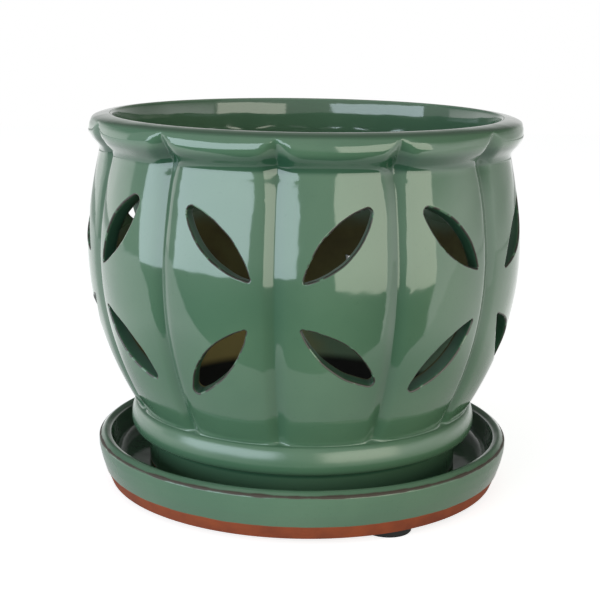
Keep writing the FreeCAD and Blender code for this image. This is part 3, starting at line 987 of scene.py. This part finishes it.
def rays(nodes):
    """1 for what the camera sees directly, and 1 for what it sees in a glossy or clear surface."""
    kind = "ShaderNodeLightPath"
    straight = nodes.add(kind, {}, {}, "Is Camera Ray")
    return straight, nodes.add(kind, {}, {}, "Is Glossy Ray") + nodes.add(kind, {}, {}, "Is Transmission Ray")


seen, mirrored = rays(floor_nodes)
off_axis = floor_nodes.add("ShaderNodeVectorMath", {"operation": "LENGTH"}, {0: floor_nodes.place()}, 1)
far = floor_nodes.ramp(off_axis, 0.13, 0.26) * floor_nodes.ramp(off_axis, 1.4, 1.0)
floor_nodes.feed(floor_shader.inputs["Emission Strength"],
                 seen * FLOOR_TO_CAMERA + mirrored * (FLOOR_IN_GLAZE + far * FAR_FLOOR_IN_GLAZE))
floor_piece.data.materials.append(floor_material)

# %% Surround
world = bpy.data.worlds.new("surround")
bpy.context.scene.world = world
world.use_nodes = True
world_nodes = Nodes(world.node_tree)
background = world.node_tree.nodes["Background"]
background.inputs["Color"].default_value = (1, 1, 1, 1)
SURROUND_LIGHT = 0.28
ROOM_BELOW = 0.12
ROOM_ABOVE = 0.75
SIDES_IN_GLAZE = 1.85
BACK_IN_GLAZE = 1.3

# How squarely a direction faces the room where the pale sides begin, and where the back begins
SIDES_BEGIN = (0.17, 0.11)
BACK_BEGINS = (-0.3, -0.8)
way = world_nodes.add("ShaderNodeTexCoord", {}, {}, "Generated")
ROOM_AZIMUTH = VIEW_AZIMUTH - math.radians(20)
to_room = world_nodes.add("ShaderNodeVectorMath", {"operation": "DOT_PRODUCT"}, {
    0: way, 1: (math.sin(ROOM_AZIMUTH), -math.cos(ROOM_AZIMUTH), 0)}, 1)
level = world_nodes.add("ShaderNodeSeparateXYZ", {}, {"Vector": way}, "Z")
room = ROOM_BELOW + world_nodes.ramp(level, -0.45, 0.1) * (ROOM_ABOVE - ROOM_BELOW)
back = BACK_IN_GLAZE * (1 - world_nodes.ramp(level, -0.1, 0.02) * 0.35)
sides = SIDES_IN_GLAZE + world_nodes.ramp(to_room, *BACK_BEGINS) * (back - SIDES_IN_GLAZE)
sheet = sides * (1 - world_nodes.ramp(level, 0.05, 0.4) * 0.85)
in_glaze = room + world_nodes.ramp(to_room, *SIDES_BEGIN) * (sheet - room)
seen, mirrored = rays(world_nodes)
world_nodes.feed(background.inputs["Strength"],
                 SURROUND_LIGHT + seen * (1 - SURROUND_LIGHT) + mirrored * (in_glaze - SURROUND_LIGHT))


# %% Lamps
MIDDLE_HEIGHT = 0.09


def window(name, azimuth, elevation, distance, width, height, radiance, colour):
    """A rectangle of light that faces the pot; azimuth is measured from the camera's side."""
    lamp = bpy.data.lights.new(name, "AREA")
    lamp.shape = "RECTANGLE"
    lamp.size = width
    lamp.size_y = height
    lamp.energy = radiance * math.pi * width * height
    lamp.color = colour
    lamp_object = bpy.data.objects.new(name, lamp)
    bpy.context.scene.collection.objects.link(lamp_object)
    turn = math.radians(azimuth) + VIEW_AZIMUTH
    rise = math.radians(elevation)
    back = Vector((math.sin(turn) * math.cos(rise), -math.cos(turn) * math.cos(rise), math.sin(rise)))
    target = Vector((0, 0, MIDDLE_HEIGHT))
    lamp_object.location = target + back * distance
    lamp_object.rotation_euler = back.to_track_quat("Z", "Y").to_euler()
    lamp_object.visible_camera = False
    print(name, "gives", round(lamp.energy, 1), "watts")


window("large_window", azimuth=-49, elevation=6.2, distance=1.4, width=1.82, height=0.76, radiance=4.6,
       colour=(0.76, 0.9, 1.0))
window("small_window", azimuth=37, elevation=4, distance=1.4, width=1.22, height=0.9, radiance=3.1,
       colour=(1.0, 1.0, 0.84))

# %% [markdown]
# ## The camera
# The camera was fitted to the picture: the ellipses of the rim and of the saucer give its height and
# distance, and the grooves give the turn of the pot. The lens is a little longer than normal.

# %% Camera
CAMERA_DISTANCE = 605.1
CAMERA_HEIGHT = 215.4
CAMERA_SHIFT = -1.8
CAMERA_PITCH = math.radians(12.53)
CAMERA_ROLL = math.radians(0.835)
SENSOR_WIDTH = 36.0
FOCAL_LENGTH = 83.35
camera = bpy.data.cameras.new("camera")
camera.sensor_width = SENSOR_WIDTH
camera.lens = FOCAL_LENGTH
camera.clip_start = 0.01
camera_object = bpy.data.objects.new("camera", camera)
bpy.context.scene.collection.objects.link(camera_object)
camera_object.matrix_world = (
    Matrix.Rotation(VIEW_AZIMUTH, 4, "Z")
    @ Matrix.Translation(Vector((CAMERA_SHIFT, -CAMERA_DISTANCE, CAMERA_HEIGHT)) * MM)
    @ Matrix.Rotation(math.pi / 2 - CAMERA_PITCH, 4, "X")
    @ Matrix.Rotation(CAMERA_ROLL, 4, "Z"))
bpy.context.scene.camera = camera_object
bpy.context.scene.view_settings.view_transform = "Standard"
print("camera at, mm:", [round(v / MM, 1) for v in camera_object.matrix_world.translation])
